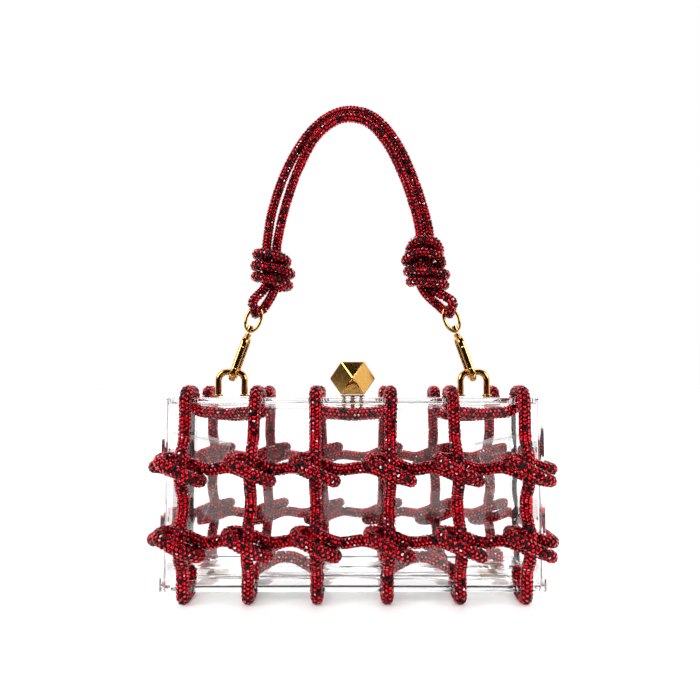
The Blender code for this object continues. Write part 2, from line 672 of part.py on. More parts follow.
def eye(side_name, side):
    """The oval eye that the handle passes through, with the swivel's barrel inside its foot."""
    frame = clip_frame(side)
    centre = frame @ Vector((side * EYE_SIDE, 0, EYE_RISE))
    half_x, half_z = (EYE_WIDTH - EYE_WIRE) / 2, (EYE_HEIGHT - EYE_WIRE) / 2
    sides, wire_sides = 12, 6
    lean = Matrix.Rotation(-side * CLIP_LEAN, 3, "Y")
    bm = bmesh.new()
    rings = []
    for k in range(sides):
        angle = 2 * pi * k / sides
        middle = Vector((half_x * cos(angle), 0, half_z * sin(angle)))
        outward = Vector((cos(angle) / half_x, 0, sin(angle) / half_z)).normalized()
        rings.append([
            bm.verts.new(centre + lean @ (middle + EYE_WIRE / 2 * (cos(turn) * outward + sin(turn) * Vector((0, 1, 0)))))
            for turn in (2 * pi * j / wire_sides for j in range(wire_sides))
        ])
    for ring, following in zip(rings, rings[1:] + rings[:1]):
        for j in range(wire_sides):
            bm.faces.new((ring[j], ring[(j + 1) % wire_sides], following[(j + 1) % wire_sides], following[j]))
    obj = mesh_object(f"clip_{side_name}_eye", bm, "gold")
    barrel = bmesh.new()
    foot = centre + lean @ Vector((0, 0, -half_z))
    head = centre + lean @ Vector((0, 0, -half_z + BARREL_HEIGHT))
    add_rod(barrel, foot, head, BARREL_RADIUS, 8)
    boolean(obj, helper(barrel, f"clip_{side_name}_barrel"), "UNION")


def eye_hold(side):
    """The middle of the wire at the top of an eye, where the handle hangs on it."""
    lean = Matrix.Rotation(-side * CLIP_LEAN, 3, "Y")
    centre = clip_frame(side) @ Vector((side * EYE_SIDE, 0, EYE_RISE))
    return centre + lean @ Vector((0, 0, (EYE_HEIGHT - EYE_WIRE) / 2))


def handle_route():
    """Over the hand as the outer strand, through the right eye, back as the inner one, through the left eye."""
    left, right = KNOTS["left"], KNOTS["right"]
    line = [(left["x"], STRANDS_APART, left["rise"] + way) for way in (-left["below"], left["above"])]
    line += [(point["x"], point["apart"], point["rise"]) for point in HANDLE_ARCH]
    line += [(right["x"], STRANDS_APART, right["rise"] + way) for way in (right["above"], -right["below"])]
    arch = smooth(line, steps=6)
    strands = {1: [], -1: []}
    for before, point, after in zip(arch, arch[1:], arch[2:]):
        across = Vector((before.z - after.z, 0, after.x - before.x)).normalized() * point.y / 2
        behind = Vector((0, max(STRANDS_TOUCH ** 2 - point.y ** 2, 0) ** 0.5 / 2, 0))
        middle = Vector((point.x, STAPLE_SETBACK, BOX_TOP + point.z))
        for way, strand in strands.items():
            strand.append(middle + way * (across + behind))

    def through_eye(side):
        """From in front of the eye's wire, down through the eye, and up behind it."""
        lean = Matrix.Rotation(-side * CLIP_LEAN, 3, "Y")
        return [
            eye_hold(side) + lean @ Vector((side * step["out"], step["back"], step["up"])) * HANDLE_LOOP_BEND
            for step in EYE_LOOP
        ]

    route = smooth(strands[1][::5] + through_eye(1) + strands[-1][::-1][::5] + through_eye(-1)[::-1], closed=True)
    half = len(route) // 2
    return thinned(route[:half + 1])[:-1] + thinned(route[half:] + route[:1])[:-1]


def knot(side_name):
    """The wraps of a handle knot, wound round both strands, from the back at the top to the back at the foot."""
    size = KNOTS[side_name]
    deep = (KNOT_DEPTH - KNOT_ROPE) / 2
    centre = Vector((size["x"], STAPLE_SETBACK, BOX_TOP + size["rise"]))
    turns, bows = [], []
    for wrap in size["wraps"]:
        turns += [(wrap["left"], wrap["left_up"]), (wrap["right"], wrap["right_up"])]
        bows += [0, wrap["bow"]]
    turns = [(turns[1][0], turns[1][1] + KNOT_PITCH)] + turns + [(turns[-2][0], turns[-2][1] - KNOT_PITCH)]
    route = []
    for i, ((x0, up0), (x1, up1), bow) in enumerate(zip(turns, turns[1:], bows + [0])):
        side = -1 if i % 2 else 1
        start = KNOT_STEPS // 2 if i == 0 else 0
        end = KNOT_STEPS // 2 + 1 if i == len(turns) - 2 else KNOT_STEPS
        for k in range(start, end):
            c, r = cos(pi * k / KNOT_STEPS), sin(pi * k / KNOT_STEPS)
            across = (x0 if c > 0 else x1) * abs(c) ** KNOT_FULLNESS
            up = up0 * (1 + c) / 2 + up1 * (1 - c) / 2 + bow * r
            route.append(centre + Vector((across, side * deep * r ** KNOT_FULLNESS, up)))
    rope(f"handle_knot_{side_name}", route, KNOT_ROPE)


def main():
    clear_scene()
    tray("front_tray", back=False)
    tray("back_tray", back=True)
    net()
    for side_name, side in (("left", -1), ("right", 1)):
        gusset(f"gusset_{side_name}", side)
        hinge(side_name, side * HINGE_X)
        staple(side_name, side)
        clip(side_name, side)
        eye(side_name, side)
        knot(side_name)
    rivets()
    clasp()
    rope("handle_rope", handle_route(), HANDLE_ROPE, closed=True)


main()
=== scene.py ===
# %% [markdown]
# # A clear box clutch netted in rhinestone rope
#
# The bag is a box of clear acrylic. A rope covered in cut red stones is threaded through it as a net, and the same
# rope, a little thinner, is the handle. The fittings are gold plated. The solids come packed from the CAD model, and
# this file gives them their looks: it keeps the solids whose shape is already right and swaps the rest for finer ones.

# %% Loading the solids
from math import atan2, cos, pi, radians, sin, tan

import bpy
import numpy as np
from mathutils import Matrix, Vector


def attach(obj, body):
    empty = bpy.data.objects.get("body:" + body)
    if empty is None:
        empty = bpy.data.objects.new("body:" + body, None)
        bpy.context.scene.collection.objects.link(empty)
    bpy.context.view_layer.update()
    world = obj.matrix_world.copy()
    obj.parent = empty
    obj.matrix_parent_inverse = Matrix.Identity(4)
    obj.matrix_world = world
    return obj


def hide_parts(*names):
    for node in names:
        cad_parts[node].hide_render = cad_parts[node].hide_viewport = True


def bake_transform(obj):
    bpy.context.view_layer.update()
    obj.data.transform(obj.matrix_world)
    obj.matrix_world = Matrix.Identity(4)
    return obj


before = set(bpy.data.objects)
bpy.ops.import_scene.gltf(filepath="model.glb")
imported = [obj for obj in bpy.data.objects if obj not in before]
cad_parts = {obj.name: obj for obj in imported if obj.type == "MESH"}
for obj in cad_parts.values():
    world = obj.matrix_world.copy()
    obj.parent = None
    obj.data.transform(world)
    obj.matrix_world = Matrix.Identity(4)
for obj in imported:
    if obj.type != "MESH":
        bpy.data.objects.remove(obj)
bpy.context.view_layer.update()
MM = 0.001

# %% [markdown]
# Colours are written as the sRGB hex values that a picture editor shows. Blender's sockets want linear light, so one
# function converts them. Another adds a node, sets its values and links it, and every material below is built with it.

# %% Small helpers
def colour(code):
    """An sRGB hex colour as linear red, green, blue and alpha."""
    parts = [int(code[i:i + 2], 16) / 255 for i in (1, 3, 5)]
    return tuple(p / 12.92 if p <= 0.04045 else ((p + 0.055) / 1.055) ** 2.4 for p in parts) + (1.0,)


def add_node(material, kind, links=(), **values):
    """A node with its settings; each link is (output socket, this node's input)."""
    tree = material.node_tree
    node = tree.nodes.new(kind)
    for name, value in values.items():
        if hasattr(node, name):
            setattr(node, name, value)
        else:
            node.inputs[name.replace("_", " ")].default_value = value
    for output, socket in links:
        tree.links.new(output, node.inputs[socket])
    return node


def new_material(name, **surface):
    """A material with one Principled surface, and that surface."""
    material = bpy.data.materials.new(name)
    material.use_nodes = True
    shader = material.node_tree.nodes["Principled BSDF"]
    for socket, value in surface.items():
        shader.inputs[socket.replace("_", " ")].default_value = value
    return material, shader


def deselect():
    for obj in bpy.context.selected_objects:
        obj.select_set(False)


def finish_piece(obj, name, body, material):
    """The object's place goes into its mesh, and it rides on a body."""
    deselect()
    bpy.context.view_layer.objects.active = obj
    obj.select_set(True)
    bpy.ops.object.transform_apply(location=True, rotation=True, scale=True)
    obj.name = name
    obj.data.name = name
    obj.data.materials.clear()
    obj.data.materials.append(material)
    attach(obj, body)
    return obj


# %% [markdown]
# The camera stands where the photographer's did: in front of the box, a little above its top edge, looking slightly
# up. Its lens is 31.9 mm on a 36 mm wide sensor.

# %% Camera
CAMERA = {"place": (-0.0015, -0.361, 0.1112), "tilt": radians(93.5), "lens": 31.886, "sensor": 36, "near": 0.01}
bpy.ops.object.camera_add(location=CAMERA["place"], rotation=(CAMERA["tilt"], 0, 0))
camera = bpy.context.object
camera.data.lens = CAMERA["lens"]
camera.data.sensor_width = CAMERA["sensor"]
camera.data.clip_start = CAMERA["near"]
bpy.context.scene.camera = camera
print("camera at", tuple(round(v, 4) for v in camera.location))

# %% [markdown]
# The bag stands on a white sheet that glows with painted light of its own, weakest near the bag and stronger farther
# off, so that the floor runs into the background without an edge and only the bag's own shade and its faint reflection
# show on it. The sheet ends 21 cm in front of the bag's middle, so that the clear front doesn't mirror it.

# %% Floor
FLOOR_WIDTH, FLOOR_LENGTH, FLOOR_FRONT = 40, 20, -0.21
bpy.ops.mesh.primitive_grid_add(
    x_subdivisions=4, y_subdivisions=4, size=1, location=(0, FLOOR_FRONT + FLOOR_LENGTH / 2, 0))
floor = bpy.context.object
floor.name = "studio_floor"
floor.scale = (FLOOR_WIDTH, FLOOR_LENGTH, 1)
bpy.ops.object.transform_apply(location=True, rotation=True, scale=True)
# Painted glow: the sheet emits a little light of its own, though it is no lamp.
glowing_floor, glowing_floor_shader = new_material("lit_opal_acrylic", Base_Color=colour("#F6F5F4"), Roughness=0.4,
                                 Emission_Color=colour("#FFFFFF"), Emission_Strength=0.11)
floor.data.materials.append(glowing_floor)
# Painted glow: from 0.3 m away from the bag on, the sheet's emission grows, so the far floor is painted brighter than
# near the bag.
floor_place = add_node(glowing_floor, "ShaderNodeTexCoord")
from_bag = add_node(glowing_floor, "ShaderNodeVectorMath", links=((floor_place.outputs["Object"], 0),), operation="LENGTH")
glow = add_node(glowing_floor, "ShaderNodeMapRange", links=((from_bag.outputs["Value"], "Value"),), From_Min=0.3, From_Max=1.2,
                To_Min=0.11, To_Max=0.35)
glowing_floor.node_tree.links.new(glow.outputs["Result"], glowing_floor_shader.inputs["Emission Strength"])
print("floor:", FLOOR_WIDTH, "by", FLOOR_LENGTH, "m")

# %% [markdown]
# Round the floor all is white, but what shines sees more than white: dark gaps lie between the soft boxes, and those
# give gold and cut stones their contrast. A soft noise over the directions stands for the boxes and the gaps.

# %% Surround
world = bpy.data.worlds.new("studio")
bpy.context.scene.world = world
world.use_nodes = True
white_surround = world.node_tree.nodes["Background"]
white_surround.inputs["Color"].default_value = colour("#FFFFFF")
white_surround.inputs["Strength"].default_value = 1.0
ray = add_node(world, "ShaderNodeLightPath")
direction = add_node(world, "ShaderNodeTexCoord")
toward = add_node(world, "ShaderNodeSeparateXYZ", links=((direction.outputs["Generated"], "Vector"),))
boxes = add_node(world, "ShaderNodeTexNoise", links=((direction.outputs["Generated"], "Vector"),), Scale=1.7, Detail=0)
# Darker behind the camera, lighter beyond the bag.
LIGHTER_BEYOND = 0.48
shaded = add_node(world, "ShaderNodeMath", operation="MULTIPLY_ADD", links=(
    (toward.outputs["Y"], 0), (boxes.outputs["Fac"], 2)))
shaded.inputs[1].default_value = LIGHTER_BEYOND
gaps = add_node(world, "ShaderNodeValToRGB", links=((shaded.outputs["Value"], "Fac"),))
gaps.color_ramp.elements[0].position = 0.40
gaps.color_ramp.elements[0].color = colour("#141210")
gaps.color_ramp.elements[1].position = 0.56
gaps.color_ramp.elements[1].color = colour("#FFFFFF")
# The gaps are lighter where they are seen through the clear walls than where the gold and the stones mirror them.
MIX_FACTOR, MIX_A, MIX_B, MIX_RESULT = 0, 6, 7, 2
lighter = add_node(world, "ShaderNodeMapRange", links=((ray.outputs["Is Transmission Ray"], "Value"),), To_Max=0.35)
room = add_node(world, "ShaderNodeMix", data_type="RGBA", links=(
    (lighter.outputs["Result"], MIX_FACTOR), (gaps.outputs["Color"], MIX_A)))
room.inputs[MIX_B].default_value = colour("#FFFFFF")
shiny_surround = add_node(world, "ShaderNodeBackground", links=((room.outputs[MIX_RESULT], "Color"),), Strength=1.6)
surround = add_node(world, "ShaderNodeMixShader", links=(
    (ray.outputs["Is Glossy Ray"], "Fac"), (white_surround.outputs["Background"], 1),
    (shiny_surround.outputs["Background"], 2)))
world.node_tree.links.new(surround.outputs["Shader"], world.node_tree.nodes["World Output"].inputs["Surface"])
print("surround nodes:", len(world.node_tree.nodes))

# %% [markdown]
# Three soft boxes stand left, right and above, all turned to the middle of the box. Sizes are in metres and powers in
# watts.

# %% Lights
LIGHTS_AIM = Vector((0, 0, 0.09))
LIGHTS = (
    {"name": "left_softbox", "place": (-0.75, -0.55, 0.55), "size": 0.5, "power": 7},
    {"name": "right_softbox", "place": (0.8, -0.45, 0.5), "size": 0.4, "power": 5},
    {"name": "top_softbox", "place": (0.05, 0.1, 1.05), "size": 0.6, "power": 4},
)
for light in LIGHTS:
    bpy.ops.object.light_add(type="AREA", location=light["place"])
    lamp = bpy.context.object
    lamp.name = light["name"]
    lamp.data.size = light["size"]
    lamp.data.energy = light["power"]
    lamp.rotation_euler = (LIGHTS_AIM - lamp.location).to_track_quat("-Z", "Y").to_euler()
bpy.context.scene.view_settings.view_transform = "Standard"
print("lights:", len(LIGHTS))

# %% [markdown]
# Cast acrylic is clear right through, with an IOR of 1.49. Its polished faces hardly show, and its edges look grey
# because they bend the dark ropes and the corners of the room into view. Light that lies in its shade passes as
# through a window, and so does light that has been bent more than a few times, because it would end black.

# %% Acrylic
LONGEST_WAY = 7
acrylic, acrylic_shader = new_material(
    "cast_acrylic", Base_Color=colour("#FCFDFD"), Roughness=0.0, IOR=1.49, Transmission_Weight=1.0)
acrylic_ray = add_node(acrylic, "ShaderNodeLightPath")
see_through = add_node(acrylic, "ShaderNodeBsdfTransparent", Color=colour("#F6F8F8"))
long_way = add_node(
    acrylic, "ShaderNodeMath", links=((acrylic_ray.outputs["Ray Depth"], 0),), operation="GREATER_THAN")
long_way.inputs[1].default_value = LONGEST_WAY
passes = add_node(acrylic, "ShaderNodeMath", operation="MAXIMUM", links=(
    (acrylic_ray.outputs["Is Shadow Ray"], 0), (long_way.outputs["Value"], 1)))
output = acrylic.node_tree.nodes["Material Output"]
lit = add_node(acrylic, "ShaderNodeMixShader", links=(
    (passes.outputs["Value"], "Fac"), (acrylic_shader.outputs["BSDF"], 1), (see_through.outputs["BSDF"], 2)))
acrylic.node_tree.links.new(lit.outputs["Shader"], output.inputs["Surface"])
# A wall's 3 mm take nearly no light, and the 100 mm that an edge is looked through take a quarter.
depth_tint = add_node(acrylic, "ShaderNodeVolumeAbsorption", Color=colour("#C4BCBC"), Density=6.0)
acrylic.node_tree.links.new(depth_tint.outputs["Volume"], output.inputs["Volume"])
print(acrylic.name, "nodes:", len(acrylic.node_tree.nodes))

# %% [markdown]
# The solids' edges are sharp. Polishing rounds the real ones by about 0.5 mm, and those rounds are what draws the
# box's outline in pale and dark lines. A bevel on a copy of each tray makes them: the copy's loose triangles are
# merged first, and its flat faces made whole, so that only true edges are left to be rounded.

# %% Polished trays
for half_name in ("front", "back"):
    deselect()
    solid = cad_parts[f"{half_name}_tray"]
    bpy.context.view_layer.objects.active = solid
    solid.select_set(True)
    bpy.ops.object.duplicate(linked=False)
    tray = bpy.context.object
    bpy.ops.object.mode_set(mode="EDIT")
    bpy.ops.mesh.select_all(action="SELECT")
    bpy.ops.mesh.remove_doubles(threshold=0.01 * MM)
    bpy.ops.mesh.dissolve_limited(angle_limit=radians(1))
    bpy.ops.object.mode_set(mode="OBJECT")
    round_edges = tray.modifiers.new("polished edges", "BEVEL")
    round_edges.width = 0.5 * MM
    round_edges.segments = 2
    round_edges.limit_method = "ANGLE"
    round_edges.angle_limit = radians(60)
    round_edges.use_clamp_overlap = False
    bpy.ops.object.modifier_apply(modifier=round_edges.name)
    bpy.ops.object.shade_smooth_by_angle(angle=radians(50))
    finish_piece(tray, f"{half_name}_tray_polished", f"{half_name}_half", acrylic)
    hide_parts(f"{half_name}_tray")
    print(tray.name, "faces:", len(tray.data.polygons))

# %% [markdown]
# The gussets are clear vinyl sheet. It has no thickness worth refracting, so it is a see-through surface with a sharp
# gloss. Its cut edges and its fold scatter light and show as pale lines about 0.6 mm wide; every point of a gusset
# carries how far it belongs to such a line.

# %% Vinyl
vinyl, vinyl_shader = new_material("clear_vinyl", Base_Color=colour("#B9B4B4"), Roughness=0.08, IOR=1.53)
line_share = add_node(vinyl, "ShaderNodeAttribute", attribute_name="line")
opacity = add_node(vinyl, "ShaderNodeMapRange", links=((line_share.outputs["Fac"], "Value"),), To_Min=0.05, To_Max=0.55)
vinyl.node_tree.links.new(opacity.outputs["Result"], vinyl_shader.inputs["Alpha"])
print(vinyl.name, "nodes:", len(vinyl.node_tree.nodes))

# %% [markdown]
# Gold plating on cast zinc is a mirror with a warm colour. It was polished before it was plated, and the wheel left
# places of about 2 mm that are a little duller or deeper in colour than the rest.

# %% Gold
gold, gold_shader = new_material("gold_plating", Base_Color=colour("#C39656"), Metallic=1.0, Roughness=0.14)
place = add_node(gold, "ShaderNodeTexCoord")
marks = add_node(gold, "ShaderNodeTexNoise", links=((place.outputs["Object"], "Vector"),), Scale=600, Detail=1)
polish = add_node(gold, "ShaderNodeMapRange", links=((marks.outputs["Fac"], "Value"),), To_Min=0.08, To_Max=0.16)
gold.node_tree.links.new(polish.outputs["Result"], gold_shader.inputs["Roughness"])
tint = add_node(gold, "ShaderNodeValToRGB", links=((marks.outputs["Fac"], "Fac"),))
tint.color_ramp.elements[0].color = colour("#B4823F")
tint.color_ramp.elements[1].color = colour("#CDA25C")
gold.node_tree.links.new(tint.outputs["Color"], gold_shader.inputs["Base Color"])
gold_solids = [node for name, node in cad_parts.items()
               if name.startswith(("clasp", "staple", "clip", "rivet", "hinge"))]
for node in gold_solids:
    node.data.materials.clear()
    node.data.materials.append(gold)
print("gold solids:", len(gold_solids))

# %% [markdown]
# Each stone is red cut glass with a foil back, a coloured mirror. Its sparkle and shade are painted into its colour:
# every facet carries a number of its own, which picks its colour from nearly black through red to white, so a few
# facets carry a painted flash, some are bright red and the rest are painted nearly black. Between the stones shows the
# dark resin that they are set in.

# %% Red stones
ruby, ruby_shader = new_material(
    "foiled_red_glass", Metallic=0.92, Roughness=0.2, Coat_Weight=0.12, Coat_Roughness=0.04, Coat_IOR=1.5)
painted_facet_value = add_node(ruby, "ShaderNodeAttribute", attribute_name="facet")
reds_and_painted_light = add_node(ruby, "ShaderNodeValToRGB", links=((painted_facet_value.outputs["Fac"], "Fac"),))
ramp = reds_and_painted_light.color_ramp
# Painted light: the ramp runs from painted shade, nearly black, through the stone's own red to painted highlights in
# pink and white.
ramp.elements[0].position = 0.3
ramp.elements[0].color = colour("#0C0002")
ramp.elements[1].position = 0.42
ramp.elements[1].color = colour("#B80018")
for position, code in ((0.56, "#FC001C"), (0.8, "#FF142C"), (0.94, "#FF5464"), (0.98, "#FFF0F2")):
    ramp.elements.new(position).color = colour(code)
ruby.node_tree.links.new(reds_and_painted_light.outputs["Color"], ruby_shader.inputs["Base Color"])

backing, _ = new_material("dark_red_resin", Base_Color=colour("#1C0206"), Roughness=0.9)
print(ruby.name, "steps of red:", len(ramp.elements))

# %% [markdown]
# One stone is a cone with eight sides and its top cut off, twisted so that the facets round the table are triangles.
# It is made once, and its points and faces are then kept as arrays, because thousands of copies follow.

# %% One cut stone
STONE = {"radius": 0.98 * MM, "table": 0.62 * MM, "height": 0.6 * MM}
SIDES = 8
bpy.ops.mesh.primitive_cone_add(
    vertices=SIDES, radius1=STONE["radius"], radius2=STONE["table"], depth=STONE["height"], end_fill_type="NGON")
stone = bpy.context.object
stone_top = [v.index for v in stone.data.vertices if v.co.z > 0]
stone_foot = [v.index for v in stone.data.vertices if v.co.z < 0]


def by_angle(index):
    vertex = stone.data.vertices[index]
    return atan2(vertex.co.y, vertex.co.x)


for index in stone_top:
    twisted = by_angle(index) + pi / SIDES
    vertex = stone.data.vertices[index]
    vertex.co.x, vertex.co.y = STONE["table"] * cos(twisted), STONE["table"] * sin(twisted)
stone_top.sort(key=by_angle)
stone_foot.sort(key=by_angle)
top = [np.array(stone.data.vertices[i].co) for i in stone_top]
foot = [np.array(stone.data.vertices[i].co) for i in stone_foot]
if by_angle(stone_top[0]) < by_angle(stone_foot[0]):
    top = top[1:] + top[:1]
STONE_POINTS = np.array(foot + top)
STONE_POINTS[:, 2] -= STONE_POINTS[:, 2].max()
STONE_FACES = [[SIDES + k for k in range(SIDES)]]
for k in range(SIDES):
    after = (k + 1) % SIDES
    STONE_FACES.append([k, after, SIDES + k])
    STONE_FACES.append([after, SIDES + after, SIDES + k])
bpy.data.objects.remove(stone, do_unlink=True)
print("a stone has", len(STONE_FACES), "facets")

# %% [markdown]
# The ropes follow the same routes as their solids, so the net is laid out from the same measures: the box, the rope,
# where the uprights stand, where the rows cross them, and how the rope bends at the holes and the side walls.

# %% Measures of the net
BOX_WIDTH, BOX_DEPTH, BOX_HEIGHT, WALL = 200 * MM, 70 * MM, 99.7 * MM, 3 * MM
ROPE = 6 * MM
HANDLE_ROPE = 5.4 * MM
FLAT = ROPE / 2 * cos(pi / 8)
STANDOFF = 0.5 * MM
BOX_BOTTOM = FLAT + ROPE / 2 + STANDOFF
BOX_TOP = BOX_BOTTOM + BOX_HEIGHT
PANEL, SIDE, ROPE_OUT = BOX_DEPTH / 2, BOX_WIDTH / 2, ROPE / 2 + STANDOFF
# The foot and the head of every upright, as shares of the box's width from its middle.
UPRIGHTS = ((-0.435, -0.435), (-0.269, -0.254), (-0.092, -0.0985), (0.088, 0.1), (0.275, 0.26), (0.443, 0.445))
FRONT_ROWS, BACK_ROWS = (0.637 * BOX_HEIGHT, 0.265 * BOX_HEIGHT), (0.665 * BOX_HEIGHT, 0.293 * BOX_HEIGHT)
HOLE_SETBACK, HOLE_BEND, PANEL_BEND = 19 * MM, 4.2 * MM, 4.3 * MM
FESTOON_DROP, FESTOON_SAG = 6.5 * MM, 1.5 * MM
ARCH_RISE, ARCH_CROWN, ROPE_JOIN, STUB_RISE = 6.9 * MM, 7.5 * MM, 0.3 * MM, 8 * MM
TURN_STEP, TURN_LEAN = 1.15, -0.1
BULGE_FOOT, BULGE_CROWN = 14.4 * MM, 7 * MM
SIDE_SETBACK, SIDE_BEND, EDGE_SHARE = 8 * MM, 6 * MM, 0.78
# One round turn about an upright: across it, out from the panel and up, all in rope widths.
ROUND_TURN = (
    (-1.90, 0.0, 0.10), (0.10, 0.0, -0.66), (1.60, 0.45, -0.95), (1.25, 1.95, -0.60),
    (-1.25, 1.95, 0.60), (-1.60, 0.45, 0.95), (-0.10, 0.0, 0.66), (1.90, 0.0, -0.10),
)
print("uprights:", len(UPRIGHTS), "rows:", len(FRONT_ROWS))

# %% [markdown]
# A route is a list of points. Its straight runs are joined by arcs, as a rope is bent round a peg, or a smooth curve
# is laid through a few points, as a rope lies when it is free.

# %% Route helpers
ROPE_BEND_STEP = radians(12)


def rounded(corners, bend_step=ROPE_BEND_STEP):
    """The route through these corners, each a point and the radius of its bend."""
    route = []
    for i, (point, radius) in enumerate(corners):
        point = Vector(point)
        if not radius:
            route.append(point)
            continue
        before = (Vector(corners[i - 1][0]) - point).normalized()
        after = (Vector(corners[i + 1][0]) - point).normalized()
        half = before.angle(after) / 2
        sweep = pi - 2 * half
        centre = point + (before + after).normalized() * radius / sin(half)
        start = point + before * radius / tan(half) - centre
        axis = before.cross(after).normalized()
        steps = max(1, round(sweep / bend_step))
        for k in range(steps + 1):
            route.append(centre + Matrix.Rotation(-sweep * k / steps, 3, axis) @ start)
    return route


def smooth(points, closed=False, steps=6):
    """A smooth curve through these points."""
    points = [Vector(point) for point in points]
    count = len(points)
    route = []
    for i in range(count if closed else count - 1):
        if closed:
            p0, p1, p2, p3 = (points[(i + k) % count] for k in (-1, 0, 1, 2))
        else:
            p0, p1, p2, p3 = (points[min(max(i + k, 0), count - 1)] for k in (-1, 0, 1, 2))
        for k in range(steps):
            t = k / steps
            route.append(
                0.5 * (2 * p1 + (p2 - p0) * t + (2 * p0 - 5 * p1 + 4 * p2 - p3) * t * t
                       + (3 * p1 - p0 - 3 * p2 + p3) * t ** 3)
            )
    if not closed:
        route.append(points[-1])
    return route


# %% [markdown]
# The whole route is then resampled evenly and softened, which takes the last corners out of it. Along such a route a
# frame is carried: at every point it turns only as much as the route does, so that the rings of stones don't twist.

# %% Softened routes and their frames
BEAD = 0.5 * MM
FIRST_WAY = (0.3, 0.2, 0.9)


def evened(route, closed, window):
    """The route with a point every BEAD, softened over the window's length."""
    points = np.array([tuple(p) for p in route])
    if closed:
        points = np.vstack([points, points[:1]])
    lengths = np.concatenate([[0], np.cumsum(np.linalg.norm(np.diff(points, axis=0), axis=1))])
    count = max(8, round(lengths[-1] / BEAD))
    places = np.linspace(0, lengths[-1], count + 1)
    even = np.stack([np.interp(places, lengths, points[:, k]) for k in range(3)], axis=1)
    if closed:
        even = even[:-1]
    reach = max(1, round(window / BEAD / 2))
    for _ in range(2):
        if closed:
            padded = np.vstack([even[-reach:], even, even[:reach]])
        else:
            padded = np.vstack([2 * even[0] - even[reach:0:-1], even, 2 * even[-1] - even[-2:-reach - 2:-1]])
        kernel = np.ones(2 * reach + 1) / (2 * reach + 1)
        even = np.stack([np.convolve(padded[:, k], kernel, mode="valid") for k in range(3)], axis=1)
    return even


def carried_frames(points, closed):
    """At every point the way along the rope and two ways across it that turn as little as possible."""
    ahead = np.roll(points, -1, axis=0) - np.roll(points, 1, axis=0)
    if not closed:
        ahead[0], ahead[-1] = points[1] - points[0], points[-1] - points[-2]
    along = ahead / np.linalg.norm(ahead, axis=1)[:, None]
    across = np.zeros_like(along)
    first = np.cross(along[0], FIRST_WAY)
    across[0] = first / np.linalg.norm(first)
    for i in range(1, len(points)):
        side = across[i - 1] - along[i] * np.dot(across[i - 1], along[i])
        across[i] = side / np.linalg.norm(side)
    return along, across, np.cross(along, across)


# %% [markdown]
# A rhinestone rope is a soft cord in a sleeve set all over with stones. They stand in rings, each ring turned half a
# step from the one before, and none sits quite straight. A cut end is set with stones as well: one in the middle and
# six round it.

# %% Places of the stones
STONE_PITCH = 2.06 * MM
STONE_TILT = 0.11
END_STONES, END_LEAN, END_REACH = 6, 0.75, 0.72
NEARLY_ALONG = 0.9
SEED = np.random.default_rng(7)


def dressed(points, closed, diameter, columns):
    """Positions and three directions for every stone on a rope along these points."""
    along, across, third = carried_frames(points, closed)
    length = np.linalg.norm(np.diff(points, axis=0), axis=1).sum()
    rings = max(2, round(length / (STONE_PITCH / 2)))
    rings += rings % 2
    around = columns // 2
    ring = np.repeat(np.arange(rings), around)
    place = (ring + 0.5) / rings * (len(points) - 1)
    low = np.clip(place.astype(int), 0, len(points) - 1)
    middle = points[low]
    angle = 2 * pi * ((np.arange(rings * around) % around) / around + (ring % 2) / columns)
    outward = np.cos(angle)[:, None] * across[low] + np.sin(angle)[:, None] * third[low]
    base = middle + outward * diameter / 2
    if not closed:
        lean = np.concatenate([[0], np.full(END_STONES, END_LEAN)])
        round_end = 2 * pi * np.arange(END_STONES + 1) / END_STONES
        spread = np.cos(round_end)[:, None] * across[:1] + np.sin(round_end)[:, None] * third[:1]
        far_spread = np.cos(round_end)[:, None] * across[-1:] + np.sin(round_end)[:, None] * third[-1:]
        near = np.sin(lean)[:, None] * spread - np.cos(lean)[:, None] * along[:1]
        far = np.sin(lean)[:, None] * far_spread + np.cos(lean)[:, None] * along[-1:]
        ends = ((points[0], near, 0), (points[-1], far, len(points) - 1))
        for place_of_end, facing, index in ends:
            base = np.vstack([base, place_of_end + facing * (END_REACH * diameter / 2)])
            outward = np.vstack([outward, facing])
            low = np.concatenate([low, np.full(END_STONES + 1, index)])
    guide = np.where(np.abs((along[low] * outward).sum(1))[:, None] > NEARLY_ALONG, across[low], along[low])
    tilt = SEED.normal(0, STONE_TILT, (len(low), 2))
    sideways = np.cross(guide, outward)
    sideways /= np.linalg.norm(sideways, axis=1)[:, None]
    up = outward + tilt[:, :1] * guide + tilt[:, 1:] * sideways
    up /= np.linalg.norm(up, axis=1)[:, None]
    spin = SEED.uniform(0, 2 * pi, len(low))
    flat = np.cos(spin)[:, None] * guide + np.sin(spin)[:, None] * sideways
    right = flat - up * (flat * up).sum(1)[:, None]
    right /= np.linalg.norm(right, axis=1)[:, None]
    return base, right, np.cross(up, right), up


# %% [markdown]
# All the stones of a rope are one mesh, filled from arrays: the one stone's points are turned and moved to every
# place at once. Every facet is given a value of painted light: the table of a stone is painted bright, except on a few
# stones where it is painted dark, and the facets round it are mostly painted dark.

# %% Stones as one mesh
SMALLEST, LARGEST = 0.94, 1.03
# Painted sparkle and shade: how widely the facet values spread, how many tables are painted dark, and how bright the
# rest are.
PAINTED_FACET_LIGHT = {"spread": 0.45, "shared": 0.08, "painted_dark_tables": 0.14, "painted_dark_table_value": 0.1, "table": 0.36, "table_spread": 0.62}


